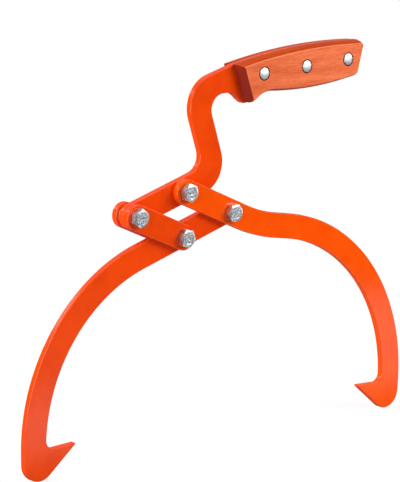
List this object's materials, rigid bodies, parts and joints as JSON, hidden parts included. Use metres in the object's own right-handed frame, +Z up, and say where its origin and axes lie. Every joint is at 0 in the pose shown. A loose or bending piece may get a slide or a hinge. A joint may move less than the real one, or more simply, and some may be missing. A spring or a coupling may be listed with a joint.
{
  "type": "log tongs",
  "caption": "One-handed log tongs: curved steel claws with inward hooks, joined by bolted straps in a rhombus and hung from a bent bar with a riveted wooden grip.",
  "frame": {"origin": "middle of the wooden grip, on the axis of its middle rivet, where the hand carries the load", "axes": "+Z up as carried, +X from the neck towards the grip's free end and the right claw, +Y through the plates from the bolt heads to the nuts"},
  "size_m": [0.3833, 0.0307, 0.3118],
  "materials": {
    "orange_powder_coat": "glossy orange powder coat on flat steel plate",
    "oiled_hardwood": "stained and varnished reddish hardwood",
    "rivet_aluminium": "polished domed heads",
    "zinc_plated_steel": "bright zinc plating"
  },
  "bodies": {
    "handle": {"handle_bar": "orange_powder_coat", "front_scale": "oiled_hardwood", "back_scale": "oiled_hardwood", "front_rivet": "rivet_aluminium", "middle_rivet": "rivet_aluminium", "rear_rivet": "rivet_aluminium", "upper_bolt": "zinc_plated_steel", "upper_nut": "zinc_plated_steel"},
    "right_claw": {"right_claw": "orange_powder_coat", "right_bolt": "zinc_plated_steel", "right_nut": "zinc_plated_steel"},
    "link": {"front_link": "orange_powder_coat", "back_link": "orange_powder_coat", "left_bolt": "zinc_plated_steel", "left_nut": "zinc_plated_steel", "left_spacer": "zinc_plated_steel", "lower_bolt": "zinc_plated_steel", "lower_nut": "zinc_plated_steel", "lower_spacer": "zinc_plated_steel"},
    "left_claw": {"left_claw": "orange_powder_coat"}
  },
  "joints": [
    {"name": "right_claw_hinge", "type": "hinge", "parent": "handle", "child": "right_claw", "pos_m": [-0.11718, 0, -0.08916], "axis": [0, 1, 0], "range_deg": [-16.5, 114]},
    {"name": "link_hinge", "type": "hinge", "parent": "handle", "child": "link", "pos_m": [-0.16499, 0, -0.10378], "axis": [0, 1, 0], "range_deg": [-16.5, 114]},
    {"name": "left_claw_hinge", "type": "hinge", "parent": "link", "child": "left_claw", "pos_m": [-0.11932, 0, -0.12412], "axis": [0, 1, 0], "range_deg": [-114, 16.5]}
  ],
  "couplings": [
    {"joint": "link_hinge", "follows": "right_claw_hinge", "ratio": 1},
    {"joint": "left_claw_hinge", "follows": "right_claw_hinge", "ratio": -1}
  ]
}
